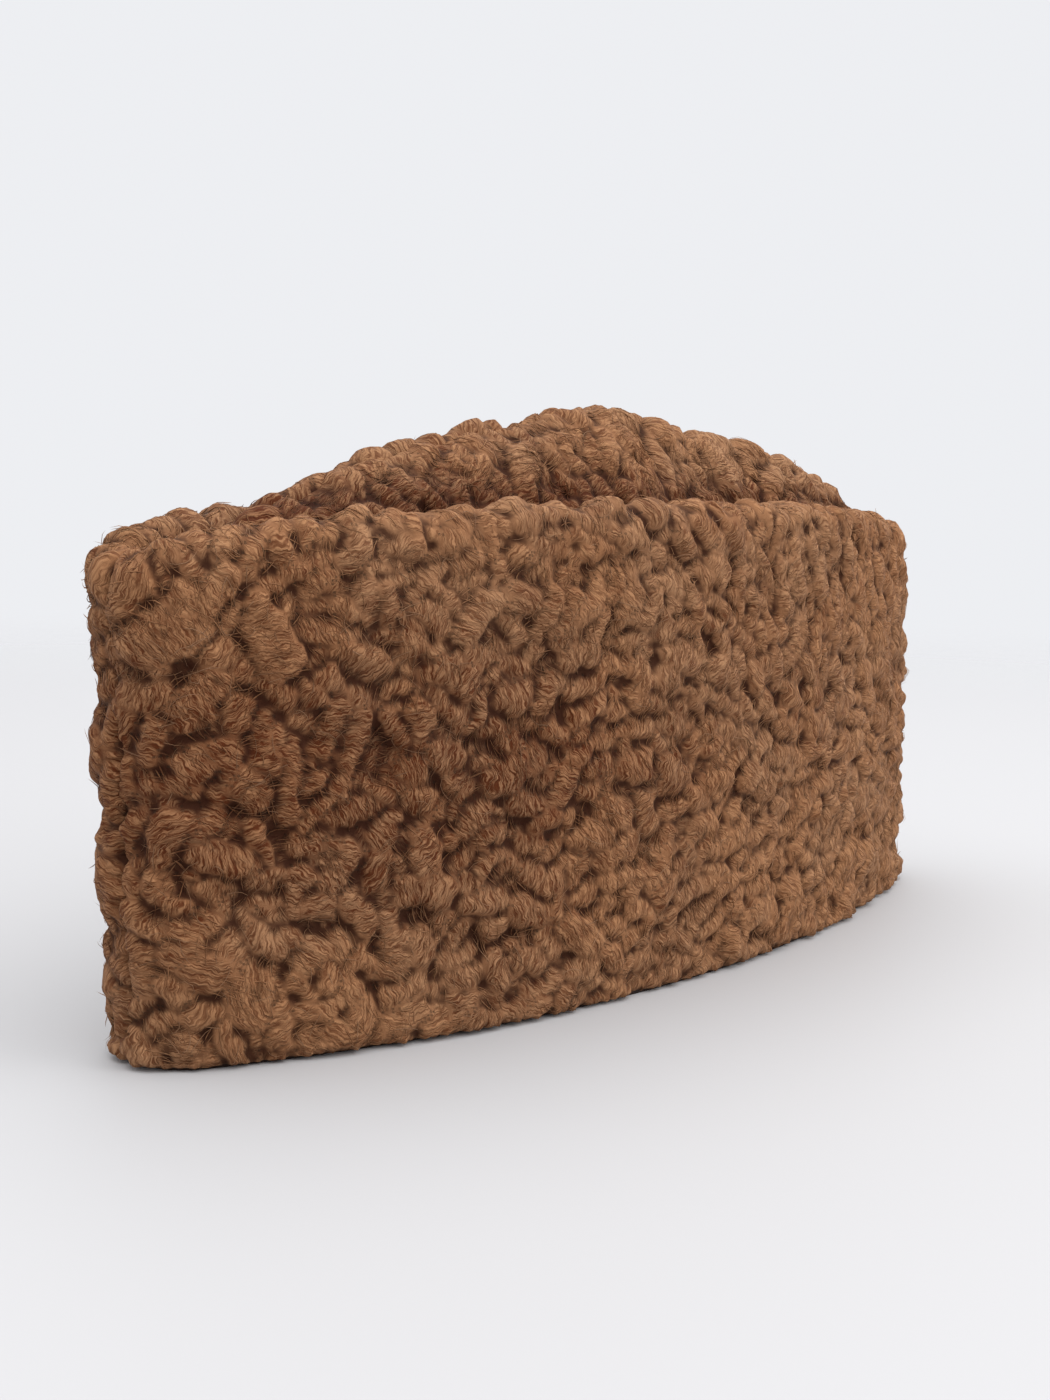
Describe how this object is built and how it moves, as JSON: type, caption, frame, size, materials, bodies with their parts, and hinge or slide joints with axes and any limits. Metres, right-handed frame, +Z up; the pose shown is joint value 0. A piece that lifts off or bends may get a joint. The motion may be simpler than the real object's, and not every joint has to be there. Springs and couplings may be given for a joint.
{
  "type": "karakul cap",
  "caption": "Boat-shaped cap of curled lamb pelt: tall side walls sewn together at the front and back round a peaked crown, open underneath for the head, folding flat when not worn.",
  "frame": {"origin": "centre of the cap's lower edge, on the surface it stands on", "axes": "+Z up, +X along the cap towards the front seam, +Y towards the left side wall"},
  "size_m": [0.2876, 0.0822, 0.1339],
  "materials": {
    "wall_fleece": "tight tubular lamb curls, soft low sheen, warm mid brown",
    "crown_fleece": "tight tubular lamb curls, soft low sheen, warm mid brown",
    "suede_hide": "matte suede side of the pelt"
  },
  "bodies": {
    "root": {"side_wall_left": "wall_fleece", "side_wall_right": "wall_fleece", "crown_left": "crown_fleece", "crown_right": "crown_fleece"}
  },
  "joints": []
}
